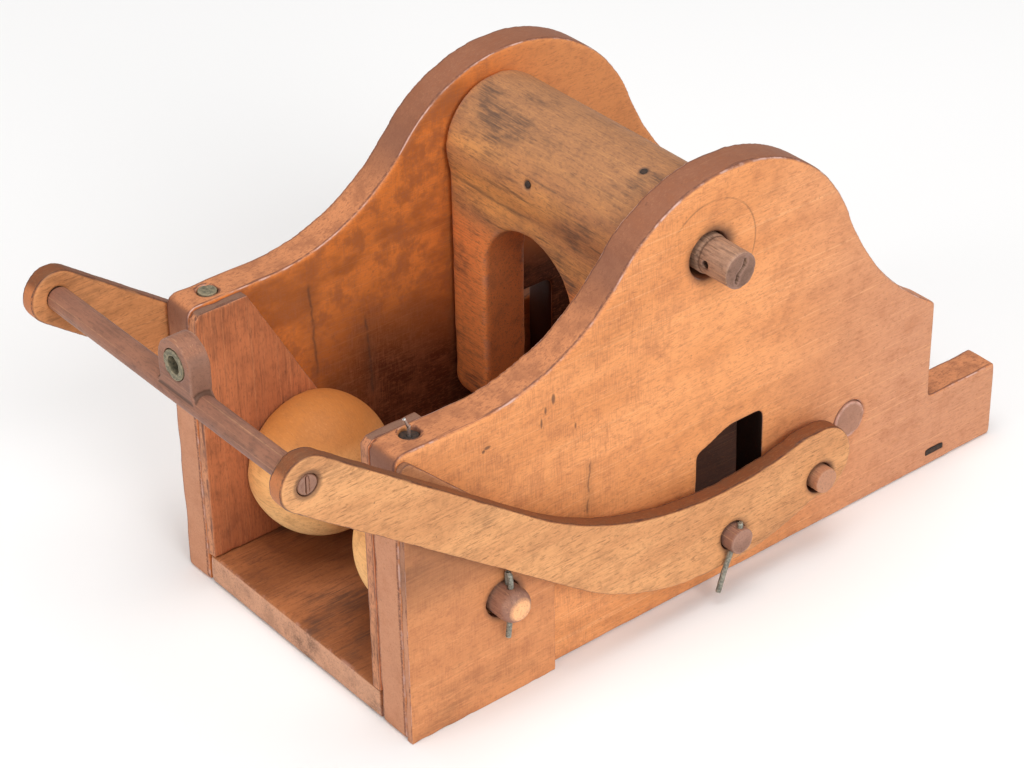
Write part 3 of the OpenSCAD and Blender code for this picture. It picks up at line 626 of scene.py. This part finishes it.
# node: (piece name, paint, voxel in mm, smoothing, roundness, dent in mm, dent size in mm, wobble in mm)
wornPieces = {
    "right_cheek": ("rightCheek", "rightCheek", 0.85, 8, 0.2, 0.4, 9, 0.2),
    "left_cheek": ("leftCheek", "leftCheek", 0.85, 8, 0.2, 0.4, 9, 0.2),
    "floor_board": ("floorBoard", "floor", 1.2, 3, 0.2, 0.8, 7, 0.2),
    "left_liner": ("leftLiner", "liner", 0.6, 3, 0.25, 0.5, 5, 0.1),
    "right_liner": ("rightLiner", "liner", 0.6, 2, 0.25, 0.3, 5, 0.0),
    "right_pad": ("sidePad", "pad", 0.5, 5, 0.25, 0.4, 5, 0.05),
    "rear_stretcher": ("rearStretcher", "stretcher", 0.5, 2, 0.3, 0.3, 3, 0.1),
    "floor_nails": ("floorNails", "iron", 0.35, 2, 0.6, 0.2, 2, 0.05),
    "left_top_pin": ("leftTopPin", "brass", 0.3, 4, 0.5, 0.3, 1.5, 0.4),
    "right_top_pin": ("rightTopPin", "iron", 0.3, 3, 0.5, 0.3, 1.5, 0.1),
    "wire_stub": ("wireStub", "bright", 0.15, 2, 1.9, 0.05, 1, 0.02),
    "left_pivot_peg": ("leftPivotPeg", "peg", 0.35, 5, 0.4, 0.4, 3, 0.1),
    "right_pivot_peg": ("rightPivotPeg", "peg", 0.35, 5, 0.4, 0.4, 3, 0.1),
    "yoke": ("yoke", "yoke", 0.8, 22, 0.12, 0.5, 8, 0.25),
    "yoke_shaft": ("yokeShaft", "shaft", 0.42, 2, 0.3, 0.5, 2.5, 0.15),
    "hub_nails": ("hubNails", "iron", 0.25, 2, 0.9, 0.1, 1, 0.02),
    "left_ball": ("leftBall", "ball", 0.6, 5, 0.15, 0.4, 8, 0.12),
    "right_ball": ("rightBall", "ball", 0.6, 5, 0.15, 0.4, 8, 0.12),
    "left_arm": ("leftArm", "leftArm", 0.55, 12, 0.22, 0.5, 6, 0.1),
    "right_arm": ("rightArm", "rightArm", 0.55, 12, 0.22, 0.5, 6, 0.1),
    "crossbar": ("crossbar", "bar", 0.35, 6, 0.42, 0.3, 4, 0.1),
    "eyelet": ("eyelet", "brass", 0.25, 1, 0.6, 0.35, 1.5, 0.25),
    "tenon_wedges": ("tenonWedges", "bar", 0.2, 1, 1.2, 0.1, 1, 0.15),
    "lift_pin": ("liftPin", "pin", 0.42, 3, 0.4, 0.6, 3, 0.12),
    "ball_axle": ("ballAxle", "axle", 0.4, 3, 0.3, 0.2, 3, 0.1),
}
wornHoles = [
    # node, joint or mount place (y, z), radius, reach, widening, direction of the wear in degrees
    ("left_cheek", sideView["shaft"], 6.7, 12, 1.7, 215),
    ("right_cheek", sideView["shaft"], 6.7, 12, 1.7, 215),
    ("left_arm", sideView["peg"], 4.6, 8.5, 1.0, 200),
    ("right_arm", sideView["peg"], 4.6, 8.5, 1.0, 200),
    ("right_pad", sideView["axle"], 5.9, 9.0, 0.9, 170),
    ("right_arm", sideView["pin"], 4.7, 7.5, 0.5, 100),
]
# corners that stay square, so that a board and its liner meet flush; least and most place in millimetres
flushCorner = {
    "right_cheek": ((40.0, -140.0, 13.5), (50.5, -70.0, 140.0)),
    "right_liner": ((45.3, -140.0, 13.5), (50.5, -70.0, 140.0)),
}
endCrack = {"depth": 2.2, "width": 0.4, "length": 4.4, "slant": 62.0, "ripple": 0.45, "bends": 0.8,
            "face": 1.2}


def splitEnd(piece):
    # opens a jagged crack in the near end of the shaft
    points = readPoints(piece.data) / mm
    endX = points[:, 0].max()
    dy = points[:, 1] - sideView["shaft"][0]
    dz = points[:, 2] - sideView["shaft"][1]
    slant = math.radians(endCrack["slant"])
    along = dy * math.cos(slant) + dz * math.sin(slant)
    ripple = endCrack["ripple"] * np.sin(endCrack["bends"] * along)
    across = dz * math.cos(slant) - dy * math.sin(slant) + ripple
    share = np.clip(1.4 - np.abs(across) / endCrack["width"], 0, 1)
    share *= np.clip(endCrack["length"] - np.abs(along), 0, 1)
    near = points[:, 0] > endX - endCrack["face"]
    points[near, 0] -= (share * endCrack["depth"])[near]
    writePoints(piece.data, points * mm)


coarser = 1.0
faceCount = 0
for seed, (node, row) in enumerate(wornPieces.items()):
    name, paintName, voxel, smoothing, roundness, dent, dentSize, wobble = row
    piece = copyOf(node, name)
    thin = voxel < 0.4
    finishWith(piece, "REMESH", mode="VOXEL", voxel_size=voxel * mm * (1.0 if thin else coarser))
    square = readPoints(piece.data)
    finishWith(piece, "SMOOTH", factor=0.5, iterations=smoothing)
    if node in flushCorner:
        points = readPoints(piece.data)
        least, most = flushCorner[node]
        inside = np.all((square > np.array(least) * mm) & (square < np.array(most) * mm), axis=1)
        points[inside] = square[inside]
        writePoints(piece.data, points)
    if node == "yoke_shaft":
        splitEnd(piece)
    for holed, centre, radius, reach, wider, towards in wornHoles:
        if holed == node:
            widenHole(piece, centre, radius, reach, wider, math.radians(towards))
    weather(piece, roundness, dent, dentSize, wobble, seed * 13.7)
    finished(piece, node, paints[paintName])
    faceCount += len(piece.data.polygons)
print("worn pieces ready:", len(wornPieces), "with", faceCount, "faces")

# cotters of bent wire: paths in the side view from the tail's foot upwards, as (x, y, z) in millimetres
cotterWire = {"radius": 0.95, "sides": 20}
axleCotterPath = [(65.2, -92.6, 25.6), (65.2, -92.0, 31), (65.3, -91.3, 38), (65.2, -91.3, 46.2),
                  (64.9, -91.3, 48.2), (64.1, -91.2, 49.2), (63.4, -91.0, 48.6), (63.1, -90.8, 46.5),
                  (63.1, -90.7, 43.6)]
pinCotterPath = [(70.1, -10.2, 4.9), (70.2, -8.0, 12), (70.5, -5.8, 18.4), (71.0, -3.2, 23.2),
                 (71.1, -2.2, 27.4), (70.8, -1.9, 28.6), (70.1, -1.5, 28.6)]


def bentWire(name, path):
    # sweeps a round section along the path, one extrusion for each stretch
    points = [Vector(p) * mm for p in path]
    heading = (points[1] - points[0]).normalized()
    turn = Vector((0, 0, 1)).rotation_difference(heading)
    bpy.ops.mesh.primitive_circle_add(vertices=cotterWire["sides"], radius=cotterWire["radius"] * mm,
                                      fill_type="NGON", location=points[0], rotation=turn.to_euler())
    piece = bpy.context.object
    piece.name = name
    bpy.ops.object.transform_apply()
    bpy.ops.object.mode_set(mode="EDIT")
    bpy.ops.mesh.select_all(action="SELECT")
    for k in range(1, len(points)):
        step = points[k] - points[k - 1]
        bpy.ops.mesh.extrude_region_move(TRANSFORM_OT_translate={"value": step})
        onward = (points[min(k + 1, len(points) - 1)] - points[k - 1]).normalized()
        swing = heading.rotation_difference(onward)
        axis, angle = swing.to_axis_angle()
        if angle > 1e-4:
            frameOf = axis.to_track_quat("Z", "Y").to_matrix()
            bpy.ops.transform.rotate(value=-angle, orient_axis="Z", orient_type="GLOBAL",
                                     orient_matrix=frameOf, orient_matrix_type="GLOBAL",
                                     center_override=points[k])
        heading = onward
    bpy.ops.mesh.select_all(action="SELECT")
    bpy.ops.mesh.normals_make_consistent(inside=False)
    bpy.ops.object.mode_set(mode="OBJECT")
    return piece


for side, word in ((1, "right"), (-1, "left")):
    for kind, path in (("axle", axleCotterPath), ("pin", pinCotterPath)):
        shift = 0.0 if side > 0 else 2.8
        mirrored = [(side * (x - shift), y, z) for x, y, z in path]
        piece = bentWire(word + kind.title() + "Cotter", mirrored)
        finishWith(piece, "REMESH", mode="VOXEL", voxel_size=0.2 * mm)
        finishWith(piece, "SMOOTH", factor=0.5, iterations=3)
        weather(piece, 1.2, 0.12, 1.2, 0.05, 3.1 * side + len(path))
        finished(piece, f"{word}_{kind}_cotter", paints["wire"])
print("cotters ready")
